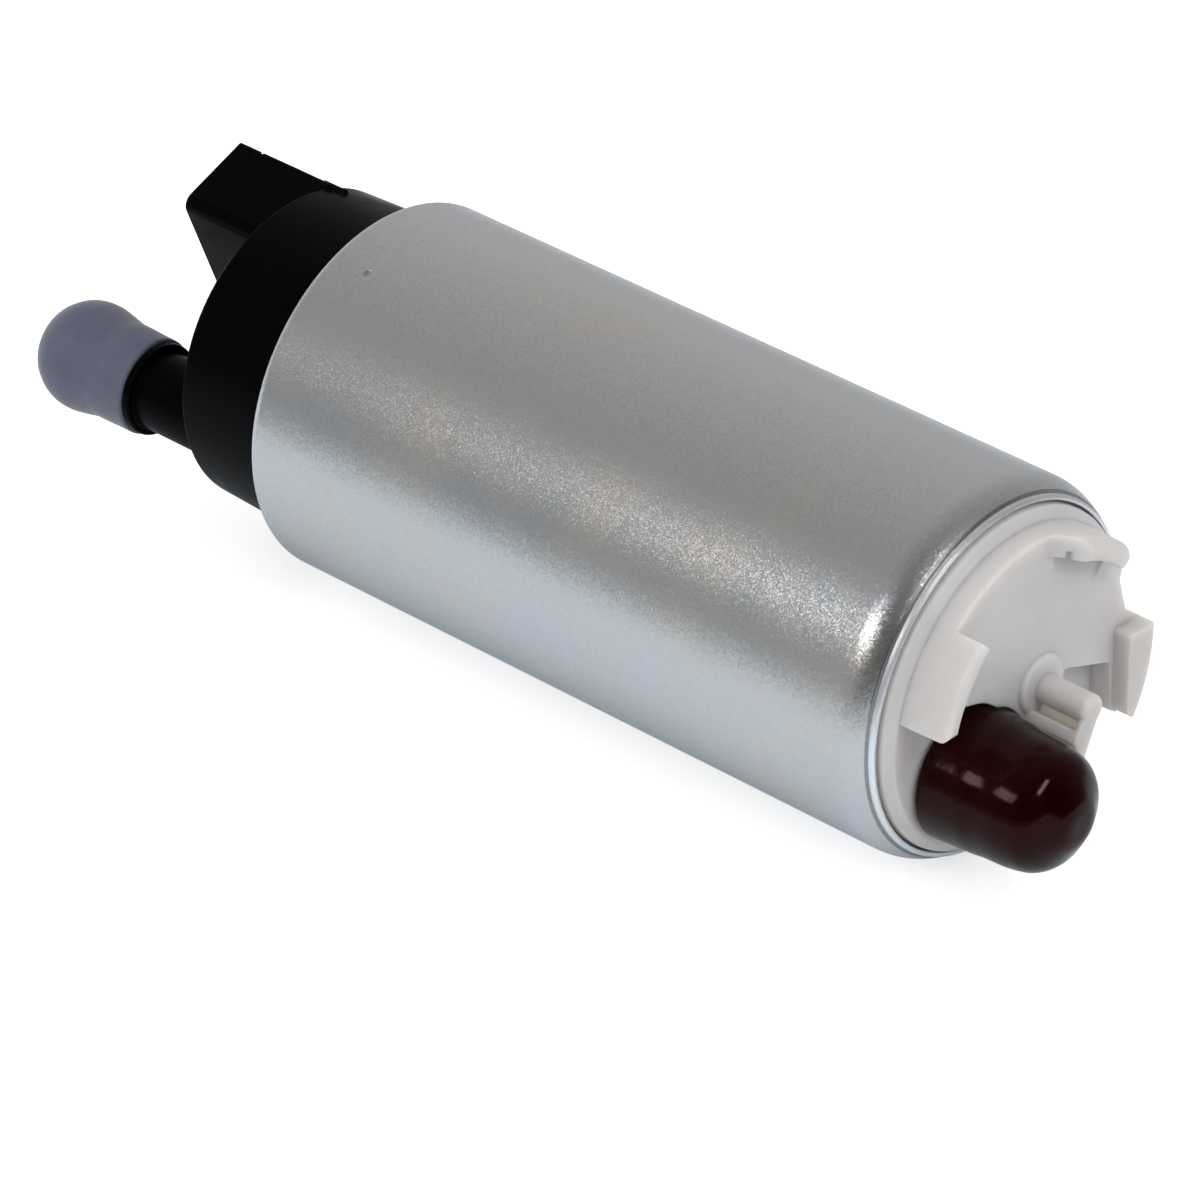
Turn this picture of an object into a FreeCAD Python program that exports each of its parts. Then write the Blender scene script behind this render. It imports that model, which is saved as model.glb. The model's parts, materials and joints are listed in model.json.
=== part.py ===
import FreeCAD, Part
import math
import os

# In-tank fuel pump with a gerotor pumping set. Millimetres, pump axis along X, inlet end at +X.
# Clock angles are seen from the inlet end: 0 is up (+Z), 90 is +Y.
# A clock angle c and a radius r give y = r sin c and z = r cos c.

V = FreeCAD.Vector
os.makedirs("parts", exist_ok=True)

# steel shell
SHELL_R = 19.5
SHELL_WALL = 1.1
SHELL_IN_R = SHELL_R - SHELL_WALL
SHELL_X0 = -40.25
SHELL_X1 = 39.1
LIP_OUTLET_R = 17.2
LIP_INLET_R = 17.8

# black outlet end
CAP_FACE_X = -52.3
CAP_FACE_R = 16.6
CAP_ROOT_R = 17.12
CAP_PLATE = 2.75
CAP_CAVITY_R = 14.6
HUB_R = 6.0
HUB_X = -35.0

# outlet pipe, its collar and its barb
PIPE_YZ = (-10.54, -4.53)
PIPE_R = 4.13
COLLAR_R = 4.9
COLLAR_X = -62.1
PIPE_TIP_X = -73.4
PIPE_BORE_R = 2.2
VALVE_BORE_R = 3.3
VALVE_STEP_X = -58.0

# electrical socket, a rectangle turned by SOCKET_TURN from upright
SOCKET_TURN = -21.5
SOCKET_TOP = (0.5, 14.87)
SOCKET_W = 8.95
SOCKET_L = 22.0
SOCKET_WALL = 1.25
SOCKET_MOUTH_X = -64.4
SOCKET_OVER = 0.3
NOTCH = 1.05

# motor
SHAFT_R = 2.0
SHAFT_X0 = -42.0
SHAFT_X1 = 35.4
STACK_R = 12.1
STACK_X0 = -17.0
STACK_X1 = 15.0
SLOTS = 8
MAGNET_IN_R = 12.6
MAGNET_OUT_R = 16.6
COMM_R = 6.5
COMM_X0 = -31.5
COMM_X1 = -21.5
BRUSH_X = -27.0
BRUSH_AX = 5.0
BRUSH_TAN = 4.0
BRUSH_OUT_R = 13.4
GAP = 0.06
TAG_T = 0.45

# gerotor: lobe centres of the outer rotor on ROTOR_C, lobe radius LOBE_R, offset ROTOR_E
ROTOR_LOBES = 7
ROTOR_C = 10.6
ROTOR_E = 1.15
LOBE_R = 3.4
ROTOR_GAP = 0.06
ROTOR_OUT_R = 13.4
PLATE_X0 = 24.14
ROTOR_X0 = 28.14
ROTOR_T = 6.0
SIDE_GAP = 0.03
ROTOR_X1 = ROTOR_X0 + ROTOR_T + 2 * SIDE_GAP
FLANGE_X = 36.2
PLATE_R = 18.35

# off-white inlet end
NECK_R = 17.5
SHOULDER_R = 16.8
SHOULDER_X = 40.3
BOSS_R = 16.4
BOSS_X = 42.75
TUBE_YZ = (-7.13, -6.02)
TUBE_R = 5.5
TUBE_BORE_R = 4.3
TUBE_X1 = 51.6
POST_YZ = (1.8, -0.2)
POST_R = 1.5
POST_X = 49.1
BASE_YZ = (1.5, 0.3)
WEB_CLOCK = -146.5
COVER_ROOM_R = 7.1


def at(r, clock):
    a = math.radians(clock)
    return (r * math.sin(a), r * math.cos(a))


def pt(x, yz):
    return V(x, yz[0], yz[1])


def cyl(r, x0, x1, yz=(0, 0)):
    return Part.makeCylinder(r, x1 - x0, pt(x0, yz), V(1, 0, 0))


def tube(r0, r1, x0, x1, yz=(0, 0)):
    return cyl(r1, x0, x1, yz).cut(cyl(r0, x0 - 1, x1 + 1, yz))


def rounded(points):
    """Closed wire in the plane z = 0 through (u, v, corner radius) points."""
    n = len(points)
    edges = []
    ends = []
    for i in range(n):
        p = V(points[i][0], points[i][1], 0)
        a = V(points[i - 1][0], points[i - 1][1], 0)
        b = V(points[(i + 1) % n][0], points[(i + 1) % n][1], 0)
        r = points[i][2] if len(points[i]) > 2 else 0
        if r <= 0:
            ends.append((p, p, None))
            continue
        u = (a - p).normalize()
        w = (b - p).normalize()
        half = u.getAngle(w) / 2
        cut = r / math.tan(half)
        mid = (u + w).normalize()
        centre = p + mid * (r / math.sin(half))
        ends.append((p + u * cut, p + w * cut, centre - mid * r))
    for i in range(n):
        start, end, top = ends[i]
        if top is not None:
            edges.append(Part.Arc(start, top, end).toShape())
        nxt = ends[(i + 1) % n][0]
        if end.distanceToPoint(nxt) > 1e-6:
            edges.append(Part.makeLine(end, nxt))
    return Part.Wire(edges)


def lathe(points, yz=(0, 0)):
    """Solid turned about the axis through yz from (x, radius, corner radius) points."""
    face = Part.Face(rounded(points))
    solid = face.revolve(V(0, 0, 0), V(1, 0, 0), 360)
    solid.translate(V(0, yz[0], yz[1]))
    return solid


def prism(points, x0, x1):
    """Solid along X from (y, z, corner radius) points."""
    wire = rounded(points)
    m = FreeCAD.Matrix(0, 0, 1, x0, 1, 0, 0, 0, 0, 1, 0, 0, 0, 0, 0, 1)
    face = Part.Face(wire.transformGeometry(m))
    return face.extrude(V(x1 - x0, 0, 0))


def box(x0, x1, y0, y1, z0, z1):
    return Part.makeBox(x1 - x0, y1 - y0, z1 - z0, V(x0, y0, z0))


def sector(r0, r1, c0, c1, x0, x1):
    """Ring segment between two clock angles."""
    mid = (c0 + c1) / 2
    edges = [Part.Arc(pt(x0, at(r1, c0)), pt(x0, at(r1, mid)), pt(x0, at(r1, c1))).toShape()]
    edges.append(Part.makeLine(pt(x0, at(r1, c1)), pt(x0, at(r0, c1))))
    edges.append(Part.Arc(pt(x0, at(r0, c1)), pt(x0, at(r0, mid)), pt(x0, at(r0, c0))).toShape())
    edges.append(Part.makeLine(pt(x0, at(r0, c0)), pt(x0, at(r1, c0))))
    return Part.Face(Part.Wire(edges)).extrude(V(x1 - x0, 0, 0))


def turned(shape, clock):
    """The shape turned about the pump axis by a clock angle."""
    s = shape.copy()
    s.rotate(V(0, 0, 0), V(1, 0, 0), -clock)
    return s


def joined(shapes):
    s = shapes[0].fuse(shapes[1:]) if len(shapes) > 1 else shapes[0]
    return s.removeSplitter()


def bend(start, corner, end):
    """Arc from start to end, tangent there to the two equal lines that meet in corner."""
    mid = (start + end) * 0.5
    rise = (corner - mid).Length
    half = (end - start).Length / 2
    sag = half * math.tan(math.atan2(rise, half) / 2)
    return Part.Arc(start, mid + (corner - mid) * (sag / rise), end).toShape()


def coil_path(length, coil_r, turns):
    """Helix along X, made of two tangent arcs for each quarter turn."""
    def place(k):
        a = math.pi / 2 * k
        return V(length * k / (4 * turns), coil_r * math.cos(a), coil_r * math.sin(a))

    def heading(k):
        a = math.pi / 2 * k
        rise = length / (2 * math.pi * turns)
        return V(rise, -coil_r * math.sin(a), coil_r * math.cos(a)).normalize()

    edges = []
    for k in range(int(round(4 * turns))):
        p, q, t, u = place(k), place(k + 1), heading(k), heading(k + 1)
        v = q - p
        w = t + u
        c2 = 4 - w.dot(w)
        c1 = v.dot(w)
        d = (math.sqrt(c1 * c1 + c2 * v.dot(v)) - c1) / c2
        one = p + t * d
        two = q - u * d
        joint = (one + two) * 0.5
        edges += [bend(p, one, joint), bend(joint, two, q)]
    return Part.Wire(edges)


def spring(x0, x1, coil_r, wire_r, turns):
    """Coil spring along X about the pump axis, with a round wire."""
    length = x1 - x0 - 2 * wire_r
    rise = length / (2 * math.pi * turns)
    ring = Part.Wire(Part.makeCircle(wire_r, V(0, coil_r, 0), V(rise, 0, coil_r)))
    body = coil_path(length, coil_r, turns).makePipeShell([ring], True, False)
    body.translate(V(x0 + wire_r, 0, 0))
    return body


def cord(points, wire_r):
    """Round wire along straight runs joined by the widest tangent arcs that fit."""
    edges = []
    at_now = points[0]
    for i in range(1, len(points) - 1):
        p = points[i]
        back = points[i - 1] - p
        on = points[i + 1] - p
        cut = 0.45 * min(back.Length, on.Length)
        start = p + back.normalize() * cut
        end = p + on.normalize() * cut
        edges += [Part.makeLine(at_now, start), bend(start, p, end)]
        at_now = end
    edges.append(Part.makeLine(at_now, points[-1]))
    ring = Part.Wire(Part.makeCircle(wire_r, points[0], points[1] - points[0]))
    return Part.Wire(edges).makePipeShell([ring], True, False)


def save(name, shape):
    if shape.ShapeType == "Compound" and len(shape.Solids) == 1:
        shape = shape.Solids[0]
    shape.exportStep("parts/" + name + ".step")
    b = shape.BoundBox
    print(name, shape.isValid(), len(shape.Solids), round(shape.Volume, 1),
          [round(v, 2) for v in (b.XMin, b.XMax, b.YMin, b.YMax, b.ZMin, b.ZMax)])


# shell: one drawn tube, a lip rolled in at each end

def shell():
    body = lathe([
        (SHELL_X0, LIP_OUTLET_R, 0.3), (SHELL_X0, SHELL_R, 1.0),
        (36.75, SHELL_R, 5.3), (38.4, 18.55, 0.12), (38.43, 18.3, 0.08), (SHELL_X1, 18.3, 0.35),
        (SHELL_X1, LIP_INLET_R, 0.14), (37.95, LIP_INLET_R, 0.05), (37.95, 17.92), (36.95, SHELL_IN_R),
        (SHELL_X0 + SHELL_WALL, SHELL_IN_R), (SHELL_X0 + SHELL_WALL, LIP_OUTLET_R, 0.1)])
    mark = Part.makeSphere(1.3, pt(-34.8, at(SHELL_R + 1.1, -22.7)))
    return body.cut(mark)


# outlet end: local directions of the socket's rectangle

def socket_point(across, down):
    """Point of the socket's section: across its width, down its length from the top edge."""
    a = math.radians(SOCKET_TURN)
    wide = (math.cos(a), -math.sin(a))
    tall = (math.sin(a), math.cos(a))
    y = SOCKET_TOP[0] + across * wide[0] - down * tall[0]
    z = SOCKET_TOP[1] + across * wide[1] - down * tall[1]
    return (y, z)


def socket_block(w0, w1, d0, d1, x0, x1, r):
    corners = [(w0, d0), (w1, d0), (w1, d1), (w0, d1)]
    return prism([socket_point(a, b) + (r,) for a, b in corners], x0, x1)


def outlet_housing():
    half = SOCKET_W / 2
    cap = lathe([
        (CAP_FACE_X, 0), (CAP_FACE_X, CAP_FACE_R, 0.35), (SHELL_X0 + SHELL_WALL, CAP_ROOT_R),
        (SHELL_X0 + SHELL_WALL, SHELL_IN_R - 0.05, 0.1), (-37.2, SHELL_IN_R - 0.05), (-37.2, 17.0),
        (-35.4, 17.0), (-35.4, SHELL_IN_R - 0.05), (-33.5, SHELL_IN_R - 0.05, 0.2), (-33.5, 0)])
    cavity = lathe([
        (CAP_FACE_X + CAP_PLATE, 0), (CAP_FACE_X + CAP_PLATE, CAP_CAVITY_R, 0.8),
        (-33.0, CAP_CAVITY_R), (-33.0, 0)])
    cap = cap.cut(cavity)
    hub = cyl(HUB_R, CAP_FACE_X + 1, HUB_X)
    ribs = [turned(box(-50.5, -40.0, -0.7, 0.7, 5.0, 15.2), c) for c in (130, 165, 215)]
    valve = cyl(4.6, CAP_FACE_X + 1, -45.5, PIPE_YZ)
    relief = cyl(3.2, CAP_FACE_X + 1, -44.0, RELIEF_YZ)
    far = half + SOCKET_OVER
    corners = [(-half, 0, 1.3), (far, 0, 0.4), (far, SOCKET_L, 0.8), (-half, SOCKET_L, 1.3)]
    shroud = prism([socket_point(a, b) + (r,) for a, b, r in corners], SOCKET_MOUTH_X, CAP_FACE_X + 0.5)
    # latch on the far long side: a slot across it, then a bump that falls away from the mouth
    slot = socket_block(far - NOTCH, far + 1, -1.0, 12.0, NOTCH_X0, NOTCH_X1, 0)
    shroud = shroud.cut(slot)
    bump = latch_bump(far)
    # the socket's top corner overhangs the round cap and runs down its side
    root = socket_block(0.2, far + 0.3, 0.3, 8.0, CAP_FACE_X - 0.7, -50.1, 0.4)
    pipe = lathe([
        (PIPE_TIP_X, PIPE_BORE_R), (PIPE_TIP_X, 3.4, 0.3), (-71.9, 4.36, 0.25), (-70.9, 4.36, 0.2),
        (-70.2, 3.8, 0.2), (COLLAR_X - 0.05, 3.8), (COLLAR_X - 0.05, COLLAR_R, 0.15),
        (COLLAR_X + 0.85, COLLAR_R, 0.25), (COLLAR_X + 0.85, PIPE_R, 0.25), (CAP_FACE_X + 1, PIPE_R),
        (CAP_FACE_X + 1, PIPE_BORE_R)], PIPE_YZ)
    body = joined([cap, hub, valve, relief, shroud, bump, root, pipe] + ribs)
    cuts = [cyl(2.6, HUB_X - 8, HUB_X - 6), cyl(4.0, HUB_X - 6, HUB_X + 1)]
    cuts.append(cyl(PIPE_BORE_R, PIPE_TIP_X - 1, VALVE_STEP_X + 0.1, PIPE_YZ))
    cuts.append(cyl(VALVE_BORE_R, VALVE_STEP_X, -44, PIPE_YZ))
    cuts.append(cyl(2.0, CAP_FACE_X - 1, RELIEF_SEAT_X, RELIEF_YZ))
    cuts.append(cyl(1.2, RELIEF_SEAT_X - 0.1, -43, RELIEF_YZ))
    w = SOCKET_WALL
    cuts.append(socket_block(-half + w, half - w - 0.1, w, SOCKET_L - w, SOCKET_MOUTH_X - 1, -53.6, 0.8))
    cuts += [blade_slot(d) for d in BLADE_DOWN]
    for c in cuts:
        body = body.cut(c)
    return body.removeSplitter()


def latch_bump(half):
    """Bump behind the latch slot, drawn across the socket's width and drawn out down its length."""
    low = half - NOTCH - 0.2
    wire = rounded([
        (NOTCH_X1, low), (NOTCH_X1, half + 0.45, 0.5), (-60.0, half + 0.5, 0.8), (-58.7, half, 0.4),
        (-58.2, half - 0.1), (-58.2, low)])
    solid = Part.Face(wire).extrude(V(0, 0, 9.0))
    solid.translate(V(0, 0, 1.6))
    c = math.cos(math.radians(SOCKET_TURN))
    s = math.sin(math.radians(SOCKET_TURN))
    m = FreeCAD.Matrix(1, 0, 0, 0, 0, c, -s, SOCKET_TOP[0], 0, -s, -c, SOCKET_TOP[1], 0, 0, 0, 1)
    return solid.transformGeometry(m)


NOTCH_X0 = -61.75
NOTCH_X1 = -61.15
BLADE_C = -0.05
RELIEF_YZ = (-1.5, -12.0)
RELIEF_BALL_R = 1.7
RELIEF_BALL_X = -47.5
RELIEF_SEAT_X = RELIEF_BALL_X + math.sqrt(RELIEF_BALL_R ** 2 - 1.2 ** 2) + 0.02
BLADE_DOWN = (5.5, 18.0)
BLADE_W = 4.8
BLADE_T = 0.8


def blade_slot(down):
    h = BLADE_W / 2
    t = BLADE_T / 2
    c = BLADE_C
    return socket_block(c - t, c + t, down - h, down + h, -54.5, -48.0, 0)


def blade(down):
    h = BLADE_W / 2
    t = BLADE_T / 2
    c = BLADE_C
    flat = socket_block(c - t, c + t, down - h, down + h, -61.5, -48.2, 0)
    y, z = socket_point(c, down)
    tail = socket_block(c - t, c + t, down - 1.0, down + 1.0, -48.3, -46.0, 0)
    chamfer = socket_block(c - 2, c + 2, down - h - 1, down - h + 0.7, -62.0, -60.9, 0)
    other = socket_block(c - 2, c + 2, down + h - 0.7, down + h + 1, -62.0, -60.9, 0)
    turn = math.radians(SOCKET_TURN)
    through = V(0, math.cos(turn), -math.sin(turn))
    eye = Part.makeCylinder(0.75, 4, V(-58.8, y, z) - through * 2, through)
    return joined([flat, tail]).cut(chamfer).cut(other).cut(eye)


def housing_seal():
    face = Part.Face(Part.Wire(Part.makeCircle(0.7, V(-36.3, 17.7, 0), V(0, 0, 1))))
    return face.revolve(V(0, 0, 0), V(1, 0, 0), 360)


# valves

def check_seat():
    return lathe([(-49.0, 1.7, 0.2), (-49.0, 3.3), (-46.6, 3.3, 0.3), (-46.6, 1.7)], PIPE_YZ)


def check_poppet():
    head = lathe([(-49.9, 0), (-49.9, 2.85, 0.15), (-49.02, 2.85, 0.3), (-49.02, 0)], PIPE_YZ)
    nose = lathe([(-49.1, 0), (-49.1, 1.6), (-48.2, 1.2, 0.4), (-48.2, 0)], PIPE_YZ)
    stem = cyl(0.9, -54.6, -49.8, PIPE_YZ)
    fins = [box(-54.6, -49.8, -1.9, 1.9, -0.25, 0.25), box(-54.6, -49.8, -0.25, 0.25, -1.9, 1.9)]
    for f in fins:
        f.translate(V(0, PIPE_YZ[0], PIPE_YZ[1]))
    return joined([head, nose, stem] + fins)


def check_spring():
    s = spring(VALVE_STEP_X, -49.9, 2.55, 0.28, 4.5)
    s.translate(V(0, PIPE_YZ[0], PIPE_YZ[1]))
    return s


def relief_ball():
    return Part.makeSphere(RELIEF_BALL_R, pt(RELIEF_BALL_X, RELIEF_YZ))


def relief_plug():
    return lathe([
        (CAP_FACE_X + 0.1, 0.7, 0.2), (CAP_FACE_X + 0.1, 2.0), (-50.9, 2.0), (-50.9, 0.7)], RELIEF_YZ)


def relief_spring():
    s = spring(-50.9, RELIEF_BALL_X - 1.14, 1.35, 0.2, 2.5)
    s.translate(V(0, RELIEF_YZ[0], RELIEF_YZ[1]))
    return s


# brush gear: everything drawn at clock 90 and turned over for the other side

def brush():
    a = BRUSH_AX / 2
    t = BRUSH_TAN / 2
    bar = box(BRUSH_X - a, BRUSH_X + a, COMM_R - 0.5, BRUSH_OUT_R, -t, t)
    return bar.cut(cyl(COMM_R + 0.02, -40, -10))


def brush_tube():
    a = BRUSH_AX / 2 + GAP
    t = BRUSH_TAN / 2 + GAP
    w = 0.5
    outer = box(BRUSH_X - a - w, BRUSH_X + a + w, 8.0, 17.0, -t - w, t + w)
    inner = box(BRUSH_X - a, BRUSH_X + a, 7.0, 18.0, -t, t)
    slot = box(BRUSH_X - 0.6, BRUSH_X + 0.6, 10.5, 18.0, t - 0.1, t + 1)
    tag = box(-34.6, BRUSH_X, 10.6, 12.4, t + w - 0.02, t + w + TAG_T)
    return outer.fuse(tag).cut(inner).cut(slot).removeSplitter()


def tag_slot():
    """Room in the holder for the tube's solder tag, drawn at clock 90."""
    t = BRUSH_TAN / 2 + GAP + 0.5
    return box(-35.0, BRUSH_X + 1, 10.5, 12.5, t - 0.1, t + TAG_T + 0.05)


def brush_spring():
    s = spring(0, 17.2 - BRUSH_OUT_R, 1.5, 0.2, 3.5)
    s.rotate(V(0, 0, 0), V(0, 0, 1), 90)
    s.translate(V(BRUSH_X, BRUSH_OUT_R, 0))
    return s


def brush_holder():
    plate = lathe([(-33.4, 7.6, 0.3), (-33.4, 18.3, 0.2), (-31.9, 18.3, 0.2), (-31.9, 7.6, 0.3)])
    rim = tube(17.2, 18.3, -32.4, -23.4)
    arms = []
    for y in (1, -1):
        y0, y1 = (8.6, 17.6) if y > 0 else (-17.6, -8.6)
        arms.append(box(-32.5, BRUSH_X + 3.9, y0, y1, -3.9, 3.9))
    body = joined([plate, rim] + arms)
    for y in (1, -1):
        y0, y1 = (7.0, 17.2) if y > 0 else (-17.2, -7.0)
        a = BRUSH_AX / 2 + GAP + 0.5
        t = BRUSH_TAN / 2 + GAP + 0.5
        body = body.cut(box(BRUSH_X - a, BRUSH_X + a, y0, y1, -t, t))
    for c in (0, 180):
        body = body.cut(turned(tag_slot(), c))
    for c in (20, 160, 200, 340):
        body = body.cut(sector(16.9, 19.0, c - 9, c + 9, -31.9, -23.0))
    for c in (0, 180):
        body = body.cut(sector(10.0, 15.5, c - 34, c + 34, -34.0, -31.0))
    return body.removeSplitter()


def jumper(down, side):
    """Wire from a blade's tail to the solder tag of its brush tube."""
    y, z = socket_point(BLADE_C, down)
    t = BRUSH_TAN / 2 + GAP + 0.5 + TAG_T / 2
    pts = [V(-45.98, y, z), V(-43.2, y, z)]
    if side > 0:
        pts.append(V(-39.6, 9.6, 1.0))
    else:
        pts.append(V(-41.0, -3.4, 9.2))
        pts.append(V(-38.6, -9.2, 4.6))
    pts.append(V(-36.6, 11.5 * side, t * side))
    pts.append(V(-34.62, 11.5 * side, t * side))
    return cord(pts, 0.5)


# motor

def shaft():
    bar = lathe([(SHAFT_X0, 0), (SHAFT_X0, SHAFT_R, 0.4), (SHAFT_X1, SHAFT_R, 0.4), (SHAFT_X1, 0)])
    for s in (0, 180):
        bar = bar.cut(turned(box(ROTOR_X0 - 0.2, SHAFT_X1 + 1, -3, 3, 1.55, 3), s))
    return bar


def slot_profile(x0, x1, grow):
    """Eight winding slots, open at the rim, widened towards the shaft by grow."""
    cuts = []
    for i in range(SLOTS):
        c = 360.0 / SLOTS * (i + 0.5)
        pocket = sector(5.6 - grow, 10.9 + grow, c - 15.5, c + 15.5, x0, x1)
        mouth = turned(box(x0, x1, -0.8, 0.8, 9, 14), c)
        cuts += [pocket, mouth]
    return cuts


def lamination_stack():
    body = tube(SHAFT_R, STACK_R, STACK_X0, STACK_X1)
    for c in slot_profile(STACK_X0 - 1, STACK_X1 + 1, 0):
        body = body.cut(c)
    return body.removeSplitter()


def slot_insulator(x0, x1, hub_x):
    disc = tube(SHAFT_R, STACK_R - 0.4, x0, x1)
    for c in slot_profile(x0 - 1, x1 + 1, -0.4):
        disc = disc.cut(c)
    lo, hi = min(x0, hub_x), max(x1, hub_x)
    return joined([disc, tube(SHAFT_R, 3.4, lo, hi)])


def winding():
    """Copper in the slots and the bunched turns over both ends."""
    bars = []
    for i in range(SLOTS):
        c = 360.0 / SLOTS * (i + 0.5)
        bars.append(sector(6.2, 10.3, c - 12.5, c + 12.5, STACK_X0 - 1.5, STACK_X1 + 1.5))
    left = lathe([
        (-20.8, 5.2, 1.2), (-20.8, 10.4, 2.0), (STACK_X0 - 0.8, 11.0, 0.4), (STACK_X0 - 0.8, 4.2, 0.3)])
    right = lathe([
        (STACK_X1 + 0.8, 4.2, 0.3), (STACK_X1 + 0.8, 11.0, 0.4), (20.3, 10.4, 2.0), (20.3, 5.2, 1.2)])
    return joined([left, right] + bars)


def commutator_core():
    return tube(SHAFT_R, 4.6, -34.2, -21.0)


def commutator():
    barrel = lathe([
        (COMM_X0, 4.6), (COMM_X0, COMM_R, 0.3), (COMM_X1 - 1.6, COMM_R), (COMM_X1 - 1.6, 7.6, 0.2),
        (COMM_X1, 7.6, 0.2), (COMM_X1, 4.6)])
    for i in range(SLOTS):
        barrel = barrel.cut(turned(box(COMM_X0 - 1, COMM_X1 + 1, -0.25, 0.25, 5.4, 9), 360.0 / SLOTS * i))
        c = 360.0 / SLOTS * (i + 0.5)
        barrel = barrel.cut(sector(6.9, 9.0, c + 9, c + 36, COMM_X1 - 2.2, COMM_X1 + 1))
    return barrel.removeSplitter()


def bush(x0, x1, r1):
    return lathe([(x0, SHAFT_R + 0.02, 0.15), (x0, r1, 0.3), (x1, r1, 0.3), (x1, SHAFT_R + 0.02, 0.15)])


def flux_ring():
    return tube(MAGNET_OUT_R, SHELL_IN_R - 0.05, -21.5, PLATE_X0)


def magnet(clock):
    return sector(MAGNET_IN_R, MAGNET_OUT_R, clock - 64, clock + 64, -19.0, 17.0)


def magnet_clips():
    """Two bent strips, one in each gap between the magnets."""
    clips = []
    for c in (90, -90):
        back = sector(16.2, MAGNET_OUT_R, c - 21, c + 21, -14.0, 12.0)
        left = sector(13.4, 16.5, c - 25.5, c - 23.5, -14.0, 12.0)
        right = sector(13.4, 16.5, c + 23.5, c + 25.5, -14.0, 12.0)
        bend_a = sector(16.2, MAGNET_OUT_R, c - 25.5, c - 20, -14.0, 12.0)
        bend_b = sector(16.2, MAGNET_OUT_R, c + 20, c + 25.5, -14.0, 12.0)
        clips.append(joined([back, left, right, bend_a, bend_b]))
    return Part.makeCompound(clips)


# pumping set

def rotor_curve(gap):
    """Inner rotor flank: envelope of the outer rotor's round lobes, kept gap inside it.
    x = C cos t - s cos(t+p) - E cos(N t), y = -C sin t + s sin(t+p) + E sin(N t),
    tan p = sin((1-N) t) / (C/(E N) - cos((1-N) t)), s = lobe radius + gap."""
    n = ROTOR_LOBES
    s = LOBE_R + gap
    pts = []
    steps = 22 * (n - 1)
    for i in range(steps):
        t = 2 * math.pi * i / steps
        p = math.atan2(math.sin((1 - n) * t), ROTOR_C / (ROTOR_E * n) - math.cos((1 - n) * t))
        u = ROTOR_C * math.cos(t) - s * math.cos(t + p) - ROTOR_E * math.cos(n * t)
        w = -ROTOR_C * math.sin(t) + s * math.sin(t + p) + ROTOR_E * math.sin(n * t)
        pts.append(V(0, w, u))
    curve = Part.BSplineCurve()
    curve.interpolate(Points=pts, PeriodicFlag=True)
    return curve


def inner_rotor():
    wire = Part.Wire(rotor_curve(ROTOR_GAP).toShape())
    body = Part.Face(wire).extrude(V(ROTOR_T, 0, 0))
    body.translate(V(ROTOR_X0 + SIDE_GAP, 0, 0))
    bore = cyl(SHAFT_R + 0.01, ROTOR_X0 - 1, ROTOR_X1 + 1)
    keep = box(ROTOR_X0 - 2, ROTOR_X1 + 2, -3, 3, -1.56, 1.56)
    return body.cut(bore.common(keep))


def outer_rotor():
    centre = (0.0, ROTOR_E)
    x0 = ROTOR_X0 + SIDE_GAP
    x1 = x0 + ROTOR_T
    disc = cyl(ROTOR_OUT_R, x0, x1, centre)
    bore = cyl(ROTOR_C - LOBE_R + 2 * ROTOR_E + ROTOR_GAP, x0 - 1, x1 + 1, centre)
    body = disc.cut(bore)
    for i in range(ROTOR_LOBES):
        y, z = at(ROTOR_C, LOBE_PHASE + 360.0 / ROTOR_LOBES * i)
        lobe = cyl(LOBE_R, x0, x1, (centre[0] + y, centre[1] + z))
        body = body.fuse(lobe.common(disc))
    return body.removeSplitter()


# the curve's lobes are in mesh with lobe centres at this clock angle
LOBE_PHASE = 180.0


def cam_ring():
    ring = lathe([(ROTOR_X0, 5), (ROTOR_X0, PLATE_R, 0.3), (ROTOR_X1, PLATE_R, 0.3), (ROTOR_X1, 5)])
    ring = ring.cut(cyl(ROTOR_OUT_R + 0.04, ROTOR_X0 - 1, ROTOR_X1 + 1, (0.0, ROTOR_E)))
    for c in DOWEL_CLOCK:
        ring = ring.cut(cyl(DOWEL_R, ROTOR_X0 - 1, ROTOR_X1 + 1, at(DOWEL_AT, c)))
    return ring


DOWEL_CLOCK = (100.0, -100.0)
DOWEL_AT = 16.2
DOWEL_R = 1.0


def port(x0, x1, c0, c1):
    """Kidney port with rounded ends."""
    body = sector(6.6, 9.8, c0, c1, x0, x1)
    ends = [cyl(1.6, x0, x1, at(8.2, c)) for c in (c0, c1)]
    return joined([body] + ends)


def port_plate():
    body = lathe([
        (PLATE_X0, 0), (PLATE_X0, PLATE_R, 0.3), (25.3, PLATE_R), (25.3, 17.1), (26.9, 17.1),
        (26.9, PLATE_R), (ROTOR_X0, PLATE_R, 0.2), (ROTOR_X0, 0)])
    hub = lathe([(PLATE_X0 - 1.4, 0), (PLATE_X0 - 1.4, 6.0, 0.6), (PLATE_X0 + 0.5, 6.0), (PLATE_X0 + 0.5, 0)])
    body = joined([body, hub])
    body = body.cut(cyl(4.0, PLATE_X0 - 3, ROTOR_X0 + 1))
    body = body.cut(port(PLATE_X0 - 1, ROTOR_X0 + 1, 30, 150))
    for c in DOWEL_CLOCK:
        body = body.cut(cyl(DOWEL_R, ROTOR_X0 - 1.15, ROTOR_X0 + 1, at(DOWEL_AT, c)))
    return body


def plate_seal():
    face = Part.Face(Part.Wire(Part.makeCircle(0.62, V(26.1, 17.75, 0), V(0, 0, 1))))
    return face.revolve(V(0, 0, 0), V(1, 0, 0), 360)


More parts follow.
